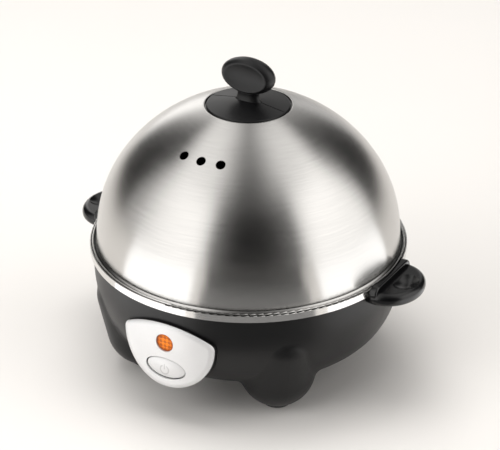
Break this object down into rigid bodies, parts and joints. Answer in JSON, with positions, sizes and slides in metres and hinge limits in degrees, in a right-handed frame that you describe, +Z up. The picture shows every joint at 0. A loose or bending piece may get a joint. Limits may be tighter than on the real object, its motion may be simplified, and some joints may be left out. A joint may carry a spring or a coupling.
{
  "type": "egg cooker",
  "caption": "Electric egg cooker: round black base on lobed feet, brushed dome lid with finger knob, seated egg tray over a heated water pan, front power button.",
  "frame": {"origin": "on the floor, under the centre of the round base", "axes": "+Z up, the control panel faces -Y, the side handles are on -X and +X"},
  "size_m": [0.2098, 0.174, 0.1755],
  "materials": {
    "black_plastic": "satin moulded",
    "black_gloss_plastic": "polished moulded",
    "black_rubber": "matt",
    "pad_rubber": "matt",
    "silicone": "satin",
    "polished_steel": "polished",
    "brushed_steel": "brushed in circles",
    "satin_steel": "satin",
    "zinc_steel": "zinc plated",
    "element_sheath": "oxidised sheath",
    "phenolic": "moulded",
    "ceramic_white": "glazed",
    "white_plastic": "moulded",
    "tray_plastic": "satin moulded",
    "silver_plastic": "silver lacquer",
    "amber_lens": "faceted, translucent",
    "clear_glass": "clear"
  },
  "bodies": {
    "base": {"base_housing": "black_plastic", "bottom_cover": "black_plastic", "bracket_screws": "zinc_steel", "clamp_nuts": "zinc_steel", "control_bracket": "white_plastic", "control_panel": "silver_plastic", "cord_bushing": "black_rubber", "cover_screws": "zinc_steel", "element_clamp_plate": "zinc_steel", "foot_pad_front_left": "pad_rubber", "foot_pad_front_right": "pad_rubber", "foot_pad_rear_left": "pad_rubber", "foot_pad_rear_right": "pad_rubber", "fuse_clip": "zinc_steel", "handle_left": "black_gloss_plastic", "handle_right": "black_gloss_plastic", "handle_screws": "zinc_steel", "heating_element": "element_sheath", "lamp_lens": "amber_lens", "neon_lamp": "clear_glass", "pan_screws": "zinc_steel", "pan_seal": "silicone", "power_switch": "black_plastic", "terminal_block": "white_plastic", "thermal_fuse": "ceramic_white", "thermostat": "phenolic", "thermostat_strap": "zinc_steel", "trim_band": "polished_steel", "water_pan": "satin_steel"},
    "lid": {"knob_screw": "zinc_steel", "knob_seal": "silicone", "knob_washer": "zinc_steel", "lid_dome": "brushed_steel", "lid_knob": "black_plastic"},
    "egg_tray_body": {"egg_tray": "tray_plastic"},
    "button": {"power_button": "silver_plastic", "switch_plunger": "white_plastic"}
  },
  "joints": [
    {"name": "lid_lift", "type": "slide", "parent": "base", "child": "lid", "axis": [0, 0, 1], "range_m": [0, 0.2]},
    {"name": "tray_lift", "type": "slide", "parent": "base", "child": "egg_tray_body", "axis": [0, 0, 1], "range_m": [0, 0.08]},
    {"name": "button_press", "type": "slide", "parent": "base", "child": "button", "axis": [0, 1, 0], "range_m": [0, 0.0016], "stiffness_N_per_m": 900, "springref_m": -0.0008}
  ],
  "couplings": [
    {"joint": "tray_lift", "follows": "lid_lift", "ratio": 0.4}
  ]
}
